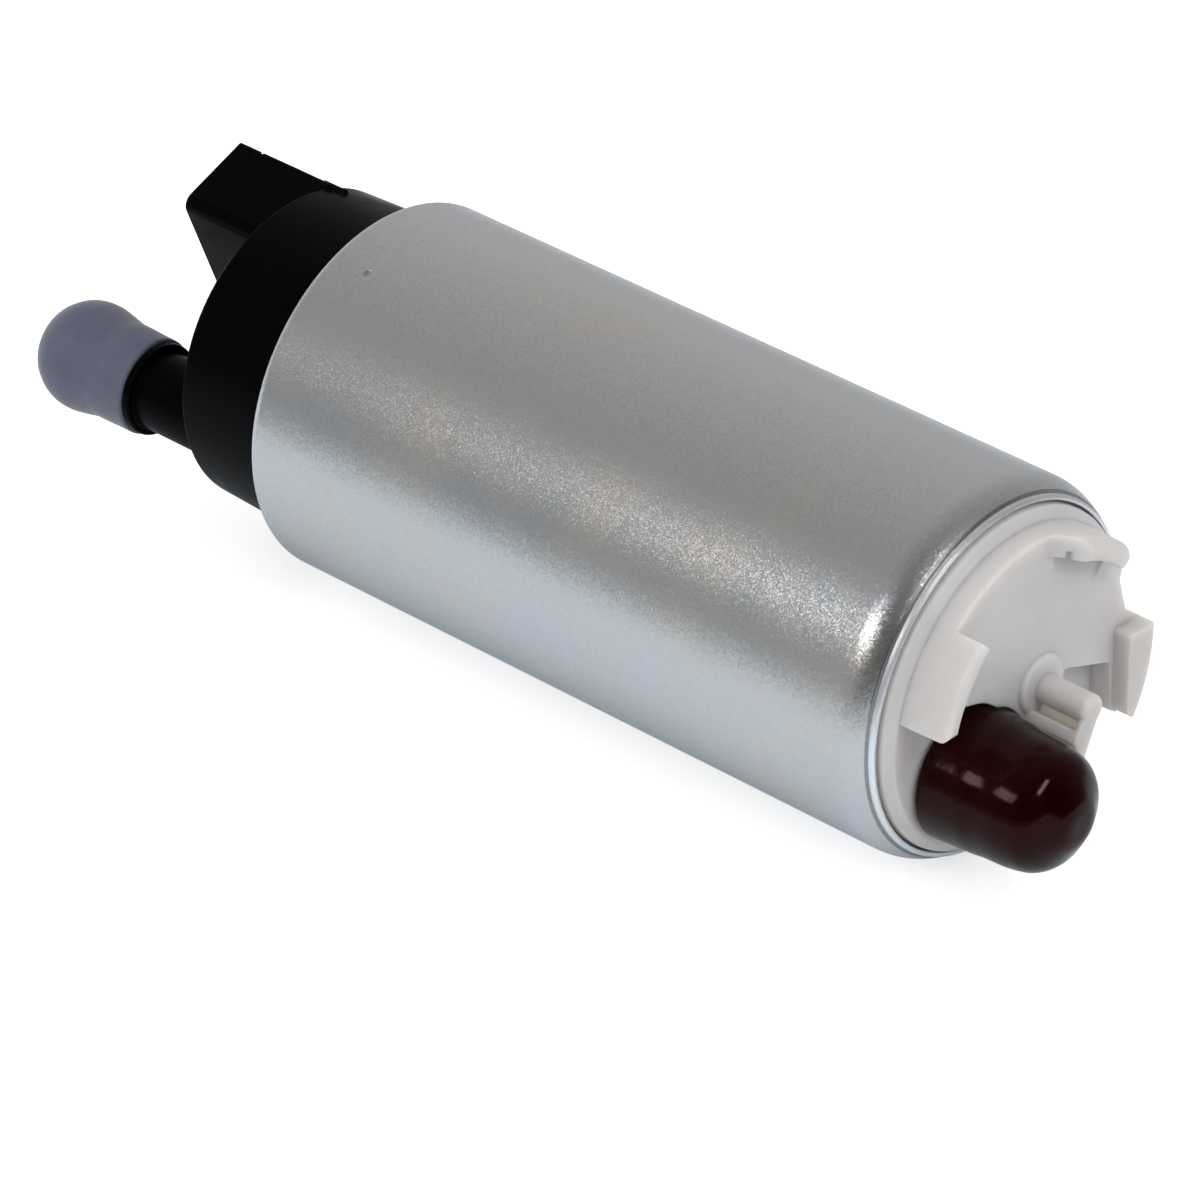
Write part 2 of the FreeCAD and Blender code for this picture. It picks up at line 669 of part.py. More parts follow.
def inlet_plate():
    body = lathe([(ROTOR_X1, 0), (ROTOR_X1, PLATE_R, 0.2), (FLANGE_X, PLATE_R, 0.2), (FLANGE_X, 0)])
    body = body.cut(cyl(2.6, ROTOR_X1 - 1, SHAFT_X1 + 0.3))
    body = body.cut(port(ROTOR_X1 - 1, FLANGE_X + 1, -150, -30))
    for c in DOWEL_CLOCK:
        body = body.cut(cyl(DOWEL_R, ROTOR_X1 - 1, FLANGE_X - 0.4, at(DOWEL_AT, c)))
    return body


def dowels():
    x0, x1 = ROTOR_X0 - 1.1, FLANGE_X - 0.5
    pins = []
    for c in DOWEL_CLOCK:
        pins.append(lathe([(x0, 0), (x0, DOWEL_R, 0.2), (x1, DOWEL_R, 0.2), (x1, 0)], at(DOWEL_AT, c)))
    return Part.makeCompound(pins)


# inlet end

def rim_piece(points, plan):
    """Part of a turned ring, cut out along a plan outline seen along X."""
    return lathe(points).common(prism(plan, SHOULDER_X - 2, 50))


def inlet_tabs():
    """Three upright pieces of the boss's rim; the second is a hook with an inward lip."""
    low = BOSS_X - 1.5
    left = rim_piece(
        [(low, 14.9), (46.0, 14.9, 0.35), (46.0, BOSS_R, 0.55), (low, BOSS_R)],
        [(-11.5, 3.3), (-18, 3.3), at(20, -60), at(16.9, -42.5) + (0.5,), at(13, -42.5)])
    # its lower end is rounded off towards the top
    nose = rounded([(0, BOSS_X), (0.12, 46.05, 1.1), (3, 46.05), (3, 48), (-4, 48), (-4, BOSS_X)])
    upright = FreeCAD.Matrix(0, 1, 0, 0, 0, 0, 0, -18, 1, 0, 0, 3.3, 0, 0, 0, 1)
    nose = Part.Face(nose.transformGeometry(upright))
    left = left.cut(nose.extrude(V(0, 6, 0)))
    wall = rim_piece(
        [(low, 14.9), (45.6, 14.9, 0.1), (45.6, BOSS_R, 1.35), (low, BOSS_R)],
        [at(14, 6), at(18, 6), at(18, 26), at(17.1, 44.5) + (1.9,), at(14, 44.5)])
    # the hook's left end rises from the face in a soft S
    ramp = rounded([
        (-4, BOSS_X + 0.01), (0, BOSS_X + 0.01, 2.0), (2.7, 45.6, 1.6), (7, 45.6), (7, 48), (-4, 48)])
    crosswise = FreeCAD.Matrix(0, 1, 0, 0, 1, 0, 0, 0, 0, 0, 1, 13.5, 0, 0, 0, 1)
    ramp = Part.Face(ramp.transformGeometry(crosswise))
    lip = rim_piece(
        [(44.2, 14.1, 0.2), (45.6, 14.1, 0.5), (45.6, 15.0), (44.2, 15.0)],
        [at(15.0, 8), at(12.8, 8), at(12.6, 30), at(13.6, 44.5) + (0.7,), at(15.2, 44.5), at(15.9, 34),
         at(15.6, 20)])
    foot = rim_piece(
        [(low, 14.2), (45.6, 14.2, 0.3), (45.6, 15.2), (low, 15.2)],
        [at(13, 6), at(16, 6), at(16, 13), at(13, 13)])
    ramp = turned(ramp.extrude(V(0, 0, 5)), 8.7)
    wall = joined([wall, lip, foot]).cut(ramp)
    right = rim_piece(
        [(BOSS_X - 2.4, 5), (BOSS_X - 2.4, 16.4), (44.75, 16.4, 0.4), (44.75, 5)],
        [(12.65, 0.95, 0.4), (17.0, 0.7, 0.9), (19, -5), (17.5, -8.6), (13.4, -8.6, 0.5), (12.65, -8.0, 0.3)])
    return [left, wall, right]


def inlet_boss():
    disc = lathe([(SHOULDER_X - 1, 0), (SHOULDER_X - 1, BOSS_R), (BOSS_X, BOSS_R, 0.3), (BOSS_X, 0)])
    low = prism([
        (-18, 3.3), (-10.2, 3.3, 4), (-6.7, 2.2, 6), (-2.9, -0.8, 3), (0, -3.4), (5.3, -3.4),
        (5.0, 0.2, 0.4), (12.2, -2.6), (13.2, -20), (-18, -20)], SHOULDER_X, BOSS_X + 1)
    around = cyl(COVER_ROOM_R, SHOULDER_X, BOSS_X + 1, TUBE_YZ)
    step = prism([
        at(19, 54), at(16.0, 59) + (0.8,), at(14.55, 64.5) + (1,), at(14.35, 72) + (8,),
        at(14.5, 81) + (1,), at(16.3, 87.5), at(19, 90)], SHOULDER_X, BOSS_X + 1)
    # a shallow hollow under the hook, deepest at its left end and fading to the right
    wedge = lathe([(BOSS_X + 0.1, 11.4), (BOSS_X - 0.6, 14.9), (BOSS_X + 0.1, 14.9)])
    fade = prism([at(10, 12.5), at(16, 12.5), at(16, 48), at(10, 48)], BOSS_X - 0.7, BOSS_X + 1)
    fade.rotate(pt(BOSS_X, at(13, 48)), V(0, at(1, 30)[0], at(1, 30)[1]), -3.8)
    wedge = wedge.common(fade)
    side = sector(12.5, 18.0, 123.5, 180, SHOULDER_X, BOSS_X + 1)
    body = disc
    for c in (low, around, step, wedge, side):
        body = body.cut(c)
    return body


def web_point(along, across):
    """Point beside the post: along the web from the post's centre, and across it."""
    run = at(1, WEB_CLOCK)
    return (POST_YZ[0] + along * run[0] - across * run[1], POST_YZ[1] + along * run[1] + across * run[0])


def web():
    """Wall under the post with a foot along the cover, hollowed out on the left between the two."""
    outline = [(0.2, -0.5), (1.4, -1.0), (5.2, -1.0), (5.2, 1.7), (0.2, 1.0)]
    body = prism([web_point(a, b) for a, b in outline], SHOULDER_X - 0.5, POST_X - 0.05)
    pocket = [(0.4, -2.5), (2.5, -2.5), (2.25, 0.5), (0.4, 0.5)]
    body = body.cut(prism([web_point(a, b) + (0.2,) for a, b in pocket], BOSS_X + 0.5, POST_X - 0.6))
    return body.cut(cyl(COVER_ROOM_R - 0.05, SHOULDER_X, POST_X + 1, TUBE_YZ))


def inlet_housing():
    flange = lathe([
        (FLANGE_X, 0), (FLANGE_X, 18.3, 0.2), (36.95, 18.3), (37.93, 17.86), (37.93, NECK_R),
        (39.5, NECK_R, 0.5), (SHOULDER_X, SHOULDER_R - 0.15, 0.3), (SHOULDER_X, 0)])
    base = lathe([
        (BOSS_X - 2.5, 0), (BOSS_X - 2.5, 3.15), (BOSS_X + 0.5, 3.1, 0.45), (BOSS_X + 0.5, 0)], BASE_YZ)
    base = base.cut(cyl(COVER_ROOM_R, SHOULDER_X, BOSS_X + 2, TUBE_YZ))
    post = lathe([(SHOULDER_X, 0), (SHOULDER_X, POST_R), (POST_X, POST_R, 0.6), (POST_X, 0)], POST_YZ)
    stem = lathe([
        (SHOULDER_X - 0.5, 0), (SHOULDER_X - 0.5, 6.4), (SHOULDER_X + 0.08, 6.4), (SHOULDER_X + 0.1, TUBE_R),
        (TUBE_X1, TUBE_R, 0.5), (TUBE_X1, 0)], TUBE_YZ)
    body = joined([flange, inlet_boss(), base, post, web(), stem] + inlet_tabs())
    gallery = lathe([(FLANGE_X - 1, 0), (FLANGE_X - 1, 12.8), (38.3, 12.8, 0.8), (38.3, 0)])
    body = body.cut(gallery.common(box(FLANGE_X - 1, 39, -13.5, 0.5, -13.5, 13.5)))
    body = body.cut(cyl(TUBE_BORE_R, FLANGE_X - 1, TUBE_X1 + 1, TUBE_YZ))
    return body.removeSplitter()


def inlet_cap():
    x0, x1 = 40.47, 54.95
    out = lathe([(x0, 0), (x0, 7.02, 0.3), (52.37, 6.25, 4.24), (x1, 1.98, 3.5), (x1, 0)], TUBE_YZ)
    end = TUBE_X1 + 0.02
    bore = lathe([(x0 - 1, 0), (x0 - 1, TUBE_R + 0.03), (end, TUBE_R + 0.03, 0.4), (end, 0)], TUBE_YZ)
    return out.cut(bore)


def outlet_cap():
    x0, x1 = -76.35, COLLAR_X - 0.07
    out = lathe([
        (x0, 0), (x0, 5.85, 5.2), (-70.6, 5.85, 3.0), (-67.3, 5.26, 4.0), (x1, 5.17, 0.2), (x1, 0)], PIPE_YZ)
    return out.cut(lathe([
        (PIPE_TIP_X - 0.05, 0), (PIPE_TIP_X - 0.05, 4.4, 0.6), (x1 + 1, 4.4), (x1 + 1, 0)], PIPE_YZ))


save("shell", shell())
save("outlet_housing", outlet_housing())
save("blade_a", blade(BLADE_DOWN[0]))
save("blade_b", blade(BLADE_DOWN[1]))
save("housing_seal", housing_seal())
save("check_seat", check_seat())
save("check_poppet", check_poppet())
save("check_spring", check_spring())
save("relief_ball", relief_ball())
save("relief_plug", relief_plug())
save("relief_spring", relief_spring())
save("brush_holder", brush_holder())
for letter, clock in (("a", 0), ("b", 180)):
    save("brush_" + letter, turned(brush(), clock))
    save("brush_tube_" + letter, turned(brush_tube(), clock))
    save("brush_spring_" + letter, turned(brush_spring(), clock))
save("jumper_a", jumper(BLADE_DOWN[1], 1))
save("jumper_b", jumper(BLADE_DOWN[0], -1))
save("shaft", shaft())
save("lamination_stack", lamination_stack())
save("slot_insulator_a", slot_insulator(STACK_X0 - 0.8, STACK_X0, -21.0))
save("slot_insulator_b", slot_insulator(STACK_X1, STACK_X1 + 0.8, 21.9))
save("winding", winding())
save("commutator_core", commutator_core())
save("commutator", commutator())
save("outlet_bush", bush(HUB_X - 6, HUB_X, 4.0))
save("pump_bush", bush(PLATE_X0 - 1.6, ROTOR_X0, 4.0))
save("washer_a", tube(SHAFT_R + 0.01, 4.4, HUB_X + 0.1, HUB_X + 0.6))
save("washer_b", tube(SHAFT_R + 0.01, 4.4, 21.9, 22.4))
save("flux_ring", flux_ring())
save("magnet_a", magnet(0))
save("magnet_b", magnet(180))
save("magnet_clips", magnet_clips())
save("inner_rotor", inner_rotor())
save("outer_rotor", outer_rotor())
save("cam_ring", cam_ring())
save("port_plate", port_plate())
save("plate_seal", plate_seal())
save("inlet_plate", inlet_plate())
save("dowels", dowels())
save("inlet_housing", inlet_housing())
save("inlet_cap", inlet_cap())
save("outlet_cap", outlet_cap())
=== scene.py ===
import json
import bpy
import numpy as np
from mathutils import Matrix, Quaternion, Vector


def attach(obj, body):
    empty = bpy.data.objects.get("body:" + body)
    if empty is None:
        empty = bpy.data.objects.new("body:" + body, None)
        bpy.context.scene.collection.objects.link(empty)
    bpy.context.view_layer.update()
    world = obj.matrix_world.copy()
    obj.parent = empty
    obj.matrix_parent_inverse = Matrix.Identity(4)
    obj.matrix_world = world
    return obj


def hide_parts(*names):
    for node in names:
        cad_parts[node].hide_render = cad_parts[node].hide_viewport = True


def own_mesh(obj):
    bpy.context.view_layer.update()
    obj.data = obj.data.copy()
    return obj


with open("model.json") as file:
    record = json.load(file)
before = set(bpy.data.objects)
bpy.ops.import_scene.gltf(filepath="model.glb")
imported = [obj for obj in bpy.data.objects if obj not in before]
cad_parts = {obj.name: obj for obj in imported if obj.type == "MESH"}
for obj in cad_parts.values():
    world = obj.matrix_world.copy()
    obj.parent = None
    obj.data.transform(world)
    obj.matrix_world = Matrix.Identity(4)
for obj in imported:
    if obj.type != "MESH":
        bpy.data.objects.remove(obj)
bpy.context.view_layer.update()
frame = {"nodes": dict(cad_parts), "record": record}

MM = 0.001
FLOOR_Z = -19.5
FLOOR_HALF = 4000.0

# camera, fitted to the photograph: it looks along -back from a point given in millimetres
CAMERA_AZIMUTH = np.radians(42.03)
CAMERA_ELEVATION = np.radians(32.906)
CAMERA_DISTANCE = 696.5
CAMERA_RIGHT = -8.357
CAMERA_UP = -6.939
CAMERA_LENS = 216.0
SENSOR_WIDTH = 36.0

# lines that the two pull-off covers are turned about (mm)
INLET_TUBE_YZ = (-7.13, -6.02)
OUTLET_PIPE_YZ = (-10.54, -4.53)

# where the shell's rolled lips begin, along the pump axis (mm)
LIP_STEP_X = 38.4
OUTLET_LIP_X = -39.65

# springs (mm): each one's fixed end, the way from there to its free end, the side its wire starts on,
# (length, coil radius, wire radius, turns), the joint that shortens it and by how much at its limit
SPRINGS = {
    "check_spring": ((-58.0, *OUTLET_PIPE_YZ), (1, 0, 0), (0, 1, 0), (8.1, 2.55, 0.28, 4.5),
                     "check_poppet_slide", 1.8),
    "relief_spring": ((-50.9, -1.5, -12.0), (1, 0, 0), (0, 1, 0), (2.26, 1.35, 0.2, 2.5),
                      "relief_ball_slide", 0.88),
    "brush_spring_a": ((-27.0, 17.2, 0.0), (0, -1, 0), (-1, 0, 0), (3.8, 1.5, 0.2, 3.5),
                       "brush_a_slide", 1.5),
    "brush_spring_b": ((-27.0, -17.2, 0.0), (0, 1, 0), (-1, 0, 0), (3.8, 1.5, 0.2, 3.5),
                       "brush_b_slide", 1.5),
}

# ridges that the winding's wires make round the armature
WIRE_RIDGES = 144

# studio (mm): the point that both lamps face, and the strips of floor over which mirror rays see the
# pale sheet fade out, in front of the barrel and behind it
LAMP_AIM = (50.0, -9.0, -1.0)
SHEET_FRONT = (-104.0, -118.0)
SHEET_BACK = (110.0, 150.0)

# room: brightness = level + slope . direction, as mirror rays see it and as light falls from it
MIRROR_SLOPE, MIRROR_LEVEL, MIRROR_DARKEST = (-0.29, 0.175, 0.0), 0.245, 0.03
LIGHT_SLOPE, LIGHT_LEVEL = (-0.14, 0.0, 0.0), 0.8

FINISHES = {}


def place_camera():
    """Camera at back * distance + right * a + up * b, looking along -back, with no shift."""
    sa, ca = np.sin(CAMERA_AZIMUTH), np.cos(CAMERA_AZIMUTH)
    se, ce = np.sin(CAMERA_ELEVATION), np.cos(CAMERA_ELEVATION)
    back = np.array([sa * ce, -ca * ce, se])
    right = np.array([ca, sa, 0.0])
    up = np.array([-sa * se, ca * se, ce])
    place = (back * CAMERA_DISTANCE + right * CAMERA_RIGHT + up * CAMERA_UP) * MM
    data = bpy.data.cameras.new("camera")
    data.lens = CAMERA_LENS
    data.sensor_width = SENSOR_WIDTH
    data.clip_start = 10 * MM
    cam = bpy.data.objects.new("camera", data)
    bpy.context.scene.collection.objects.link(cam)
    turn = Matrix((right, up, back)).transposed().to_4x4()
    cam.matrix_world = Matrix.Translation(Vector(place)) @ turn
    bpy.context.scene.camera = cam


# node helpers

def rgb(*values):
    return tuple(values) + (1.0,)


def set_inputs(tree, node, values):
    """Each value is a number, a vector, a colour or the socket of another node."""
    for key, value in (values or {}).items():
        if isinstance(value, bpy.types.NodeSocket):
            tree.links.new(value, node.inputs[key])
        else:
            node.inputs[key].default_value = value


def put(tree, kind, values=None, **settings):
    """One shader node: settings are its properties and values its inputs."""
    node = tree.nodes.new("ShaderNode" + kind)
    for key, value in settings.items():
        setattr(node, key, value)
    set_inputs(tree, node, values)
    return node


def calc(tree, operation, a, b=0.0):
    return put(tree, "Math", {0: a, 1: b}, operation=operation).outputs[0]


def vector_calc(tree, operation, a, b=(0, 0, 0)):
    """SCALE takes a number as b and DOT_PRODUCT gives one; every other value is a vector."""
    key = 3 if operation == "SCALE" else 1
    node = put(tree, "VectorMath", {0: a, key: b}, operation=operation)
    return node.outputs["Value" if operation == "DOT_PRODUCT" else "Vector"]


def spread(tree, value, low, high, to_low=0.0, to_high=1.0):
    """Value moved from low..high to to_low..to_high, held at both ends."""
    values = {0: value, 1: low, 2: high, 3: to_low, 4: to_high}
    return put(tree, "MapRange", values, clamp=True).outputs[0]


def blend(tree, mask, first, second):
    """First colour where the mask is 0, second where it is 1."""
    return put(tree, "Mix", {0: mask, 6: first, 7: second}, data_type="RGBA").outputs[2]


def noise(tree, vector, scale, detail=2.0, rough=0.5, warp=0.0):
    values = {"Vector": vector, "Scale": scale, "Detail": detail, "Roughness": rough,
              "Distortion": warp}
    return put(tree, "TexNoise", values).outputs["Fac"]


def effect(name, inputs, outputs):
    """New node group with named inputs (label, kind, value) and outputs (label, kind)."""
    tree = bpy.data.node_groups.new(name, "ShaderNodeTree")
    for label, kind, value in inputs:
        socket = tree.interface.new_socket(label, in_out="INPUT", socket_type="NodeSocket" + kind)
        socket.default_value = value
    for label, kind in outputs:
        tree.interface.new_socket(label, in_out="OUTPUT", socket_type="NodeSocket" + kind)
    return tree, tree.nodes.new("NodeGroupInput").outputs, tree.nodes.new("NodeGroupOutput").inputs


def use(tree, name, values=None):
    """The named node group placed in a material, with its own values."""
    node = tree.nodes.new("ShaderNodeGroup")
    node.node_tree = bpy.data.node_groups[name]
    set_inputs(tree, node, values)
    return node.outputs


def clouds(tree, place, size, share, main, other):
    """The cloudy colour group between two colours, with outputs Color and Mask."""
    return use(tree, "cloudy colour", {"Place": place, "Size": size, "Share": share,
                                       "Main": rgb(*main), "Other": rgb(*other)})


def skin_of(tree, place, peel, flow):
    """The moulded skin group, with outputs Height and Flow."""
    return use(tree, "moulded skin", {"Place": place, "Peel": peel, "Flow": flow})


def edges_of(tree, place, radius):
    """The rubbed edges group for edges of a radius in metres, with outputs Normal and Mask."""
    return use(tree, "rubbed edges", {"Place": place, "Radius": radius})


# effects that several finishes share; every size is in millimetres

def make_effects():
    # place: object coordinates in millimetres, from the mesh's own metres
    t, i, o = effect("millimetres", [], [("Place", "Vector")])
    coords = put(t, "TexCoord").outputs["Object"]
    t.links.new(vector_calc(t, "SCALE", coords, 1 / MM), o["Place"])

    # fine grain: noise from 0 to 1
    t, i, o = effect("fine grain", [("Place", "Vector", (0, 0, 0)), ("Size", "Float", 0.3)],
                     [("Height", "Float")])
    scale = calc(t, "DIVIDE", 1.0, i["Size"])
    t.links.new(noise(t, i["Place"], scale, 3.0, 0.6), o["Height"])

    # cloudy change between two colours, with its mask; Share moves the threshold down through the noise
    t, i, o = effect(
        "cloudy colour",
        [("Place", "Vector", (0, 0, 0)), ("Size", "Float", 8.0), ("Share", "Float", 0.5),
         ("Main", "Color", (1, 1, 1, 1)), ("Other", "Color", (1, 1, 1, 1))],
        [("Color", "Color"), ("Mask", "Float")])
    cloud = noise(t, i["Place"], calc(t, "DIVIDE", 1.0, i["Size"]), 4.0, 0.55, 0.6)
    edge = calc(t, "SUBTRACT", 0.75, calc(t, "MULTIPLY", i["Share"], 0.5))
    mask = spread(t, cloud, calc(t, "SUBTRACT", edge, 0.12), calc(t, "ADD", edge, 0.12))
    t.links.new(blend(t, mask, i["Main"], i["Other"]), o["Color"])
    t.links.new(mask, o["Mask"])

    # crystals of a metal coat: every cell leans its own way by up to Lean
    t, i, o = effect(
        "coat crystals",
        [("Place", "Vector", (0, 0, 0)), ("Size", "Float", 0.3), ("Lean", "Float", 0.08)],
        [("Normal", "Vector"), ("Tone", "Float")])
    cells = put(t, "TexVoronoi", {"Vector": i["Place"], "Scale": calc(t, "DIVIDE", 1.0, i["Size"])})
    lean = vector_calc(t, "SUBTRACT", cells.outputs["Color"], (0.5, 0.5, 0.5))
    lean = vector_calc(t, "SCALE", lean, i["Lean"])
    face = put(t, "NewGeometry").outputs["Normal"]
    t.links.new(vector_calc(t, "NORMALIZE", vector_calc(t, "ADD", face, lean)), o["Normal"])
    t.links.new(put(t, "SeparateColor", {0: cells.outputs["Color"]}).outputs[1], o["Tone"])

    # hairline scratches, long in the direction in which Along is small
    t, i, o = effect(
        "hairlines",
        [("Place", "Vector", (0, 0, 0)), ("Along", "Vector", (0.06, 1, 1)),
         ("Width", "Float", 0.15), ("Share", "Float", 0.1)],
        [("Mask", "Float")])
    squeezed = vector_calc(t, "MULTIPLY", i["Place"], i["Along"])
    lines = noise(t, squeezed, calc(t, "DIVIDE", 1.0, i["Width"]), 2.0, 0.5)
    edge = calc(t, "SUBTRACT", 0.72, calc(t, "MULTIPLY", i["Share"], 0.4))
    t.links.new(spread(t, lines, edge, calc(t, "ADD", edge, 0.08)), o["Mask"])

    # scattered nicks: one small uneven spot in some of the cells of a coarse grid
    t, i, o = effect(
        "nicks",
        [("Place", "Vector", (0, 0, 0)), ("Spacing", "Float", 9.0), ("Size", "Float", 0.25)],
        [("Mask", "Float")])
    cells = put(t, "TexVoronoi", {"Vector": i["Place"], "Scale": calc(t, "DIVIDE", 1.0, i["Spacing"])})
    reach = calc(t, "MULTIPLY", cells.outputs["Distance"], i["Spacing"])
    reach = calc(t, "ADD", reach, calc(t, "MULTIPLY", noise(t, i["Place"], 3.0), 0.3))
    spot = spread(t, reach, calc(t, "ADD", i["Size"], 0.15), calc(t, "ADD", i["Size"], 0.05))
    chosen = spread(t, put(t, "SeparateColor", {0: cells.outputs["Color"]}).outputs[0], 0.55, 0.6)
    t.links.new(calc(t, "MULTIPLY", spot, chosen), o["Mask"])

    # rubbed edges: where a rounded normal leaves the flat one, broken up by grain
    t, i, o = effect("rubbed edges", [("Place", "Vector", (0, 0, 0)), ("Radius", "Float", 0.0003)],
                     [("Normal", "Vector"), ("Mask", "Float")])
    soft = put(t, "Bevel", {"Radius": i["Radius"]}, samples=4).outputs[0]
    face = put(t, "NewGeometry").outputs["Normal"]
    turn = calc(t, "SUBTRACT", 1.0, vector_calc(t, "DOT_PRODUCT", soft, face))
    patches = spread(t, noise(t, i["Place"], 1.4), 0.35, 0.65)
    wear = calc(t, "MULTIPLY", spread(t, turn, 0.02, 0.2), patches)
    t.links.new(soft, o["Normal"])
    t.links.new(wear, o["Mask"])

    # tool marks: fine rings round the pump axis, on faces across it and on barrels along it
    t, i, o = effect("turning marks", [("Place", "Vector", (0, 0, 0)), ("Pitch", "Float", 0.2)],
                     [("Height", "Float")])
    axes = put(t, "SeparateXYZ", {0: i["Place"]}).outputs
    radius = calc(t, "SQRT", calc(t, "ADD", calc(t, "MULTIPLY", axes[1], axes[1]),
                                  calc(t, "MULTIPLY", axes[2], axes[2])))
    run = calc(t, "DIVIDE", calc(t, "ADD", radius, axes[0]), i["Pitch"])
    rings = calc(t, "SINE", calc(t, "MULTIPLY", run, 2 * np.pi))
    rings = calc(t, "ADD", rings, noise(t, i["Place"], 2.0))
    t.links.new(rings, o["Height"])

    # moulded skin: orange peel with long flow marks
    t, i, o = effect(
        "moulded skin",
        [("Place", "Vector", (0, 0, 0)), ("Peel", "Float", 0.5), ("Flow", "Float", 6.0)],
        [("Height", "Float"), ("Flow", "Float")])
    peel = noise(t, i["Place"], calc(t, "DIVIDE", 1.0, i["Peel"]), 2.0, 0.5)
    flow = noise(t, i["Place"], calc(t, "DIVIDE", 1.0, i["Flow"]), 3.0, 0.6, 1.5)
    t.links.new(peel, o["Height"])
    t.links.new(flow, o["Flow"])


def finish(slot, metal=0.0, **sockets):
    """Material of a slot, made anew: its tree, the place vector and a link helper."""
    material = FINISHES[slot] = bpy.data.materials.new(slot + "_finish")
    material.use_nodes = True
    tree = material.node_tree
    shader = tree.nodes["Principled BSDF"]
    shader.inputs["Metallic"].default_value = metal
    for label, value in sockets.items():
        shader.inputs[label.replace("_", " ")].default_value = value
    place = use(tree, "millimetres")["Place"]

    def feed(label, socket):
        tree.links.new(socket, shader.inputs[label])
    return tree, place, feed


def bump(tree, height, depth, normal=None):
    """Bump of a 0 to 1 height that is depth millimetres high."""
    values = {"Height": height, "Strength": 1.0, "Distance": depth * MM}
    if normal is not None:
        values["Normal"] = normal
    return put(tree, "Bump", values).outputs[0]


# finishes of the pieces that show

def shell_steel():
    """Drawn steel with a thin bright zinc coat: sparkling crystals, faint warm patches and nicks from
    handling. The rolled lips get a pale bright metal colour, a painted highlight on their beads, and
    the inlet one has a dark line in its step."""
    t, place, feed = finish("shell_steel", metal=1.0)
    cloud = clouds(t, place, 12.0, 0.45, (0.585, 0.60, 0.615), (0.62, 0.597, 0.572))
    crystal = use(t, "coat crystals", {"Place": place, "Size": 0.15, "Lean": 0.105})
    grain = use(t, "fine grain", {"Place": place, "Size": 0.2})["Height"]
    scratches = {"Place": place, "Along": (0.05, 1.0, 1.0), "Width": 0.5, "Share": 0.05}
    marks = use(t, "hairlines", scratches)["Mask"]
    nicks = use(t, "nicks", {"Place": place, "Spacing": 9.0, "Size": 0.12})["Mask"]
    along = put(t, "SeparateXYZ", {0: place}).outputs[0]
    # mask of the rolled lips: their painted highlight colour, more roughness and a rounded normal
    inlet_lip = spread(t, along, LIP_STEP_X - 0.1, LIP_STEP_X + 0.05)
    outlet_lip = spread(t, along, OUTLET_LIP_X + 0.15, OUTLET_LIP_X - 0.15)
    lip = calc(t, "MAXIMUM", inlet_lip, outlet_lip)
    from_step = calc(t, "ABSOLUTE", calc(t, "SUBTRACT", along, LIP_STEP_X))
    groove = spread(t, from_step, 0.16, 0.06)

    tone = spread(t, calc(t, "ADD", crystal["Tone"], grain), 0.4, 1.6, 0.95, 1.05)
    tone = calc(t, "SUBTRACT", tone, calc(t, "MULTIPLY", nicks, 0.3))
    tone = calc(t, "SUBTRACT", tone, calc(t, "MULTIPLY", groove, 0.6))
    grey = put(t, "CombineColor", {0: tone, 1: tone, 2: tone}).outputs[0]
    # painted highlight: the rolled lips get a pale bright metal colour in place of the zinc
    zinc = blend(t, lip, cloud["Color"], rgb(0.87, 0.88, 0.90))
    toned = put(t, "Mix", {0: 1.0, 6: zinc, 7: grey}, data_type="RGBA", blend_type="MULTIPLY")
    feed("Base Color", toned.outputs[2])

    rough = spread(t, grain, 0.3, 0.7, 0.29, 0.34)
    rough = calc(t, "ADD", rough, calc(t, "MULTIPLY", cloud["Mask"], 0.03))
    rough = calc(t, "ADD", rough, calc(t, "MULTIPLY", calc(t, "MAXIMUM", marks, nicks), 0.1))
    feed("Roughness", calc(t, "ADD", rough, calc(t, "MULTIPLY", lip, 0.07)))

    dents = calc(t, "ADD", grain, calc(t, "MULTIPLY", nicks, -2.0))
    bead = edges_of(t, place, 0.0005)["Normal"]
    face = put(t, "Mix", {0: lip, 4: crystal["Normal"], 5: bead}, data_type="VECTOR").outputs[1]
    feed("Normal", bump(t, dents, 0.008, face))


def black_plastic():
    """Glass-filled black nylon: semi-gloss skin, soft flow marks, edges rubbed a little greyer."""
    t, place, feed = finish("black_plastic", IOR=1.5, Specular_IOR_Level=0.03)
    edge = edges_of(t, place, 0.00025)
    skin = skin_of(t, place, 0.35, 5.0)
    black = blend(t, skin["Flow"], rgb(0.0006, 0.0004, 0.0006), rgb(0.0014, 0.001, 0.0013))
    worn = calc(t, "MULTIPLY", edge["Mask"], 0.4)
    feed("Base Color", blend(t, worn, black, rgb(0.025, 0.025, 0.026)))
    feed("Roughness", spread(t, skin["Flow"], 0.3, 0.7, 0.28, 0.4))
    feed("Normal", bump(t, skin["Height"], 0.004, edge["Normal"]))


def white_plastic():
    """Natural acetal: off-white, satin skin with flow marks. Light passes a little way in and comes
    out warm."""
    t, place, feed = finish("white_plastic", IOR=1.48, Subsurface_Weight=0.9,
                            Subsurface_Radius=(1.0, 0.84, 0.68), Subsurface_Scale=0.004)
    edge = edges_of(t, place, 0.0002)
    skin = skin_of(t, place, 0.8, 7.0)
    cloud = clouds(t, place, 6.0, 0.5, (0.555, 0.545, 0.547), (0.53, 0.516, 0.51))
    worn = calc(t, "MULTIPLY", edge["Mask"], 0.6)
    feed("Base Color", blend(t, worn, cloud["Color"], rgb(0.7, 0.685, 0.68)))
    feed("Roughness", spread(t, skin["Flow"], 0.3, 0.7, 0.34, 0.46))
    feed("Normal", bump(t, skin["Height"], 0.008, edge["Normal"]))


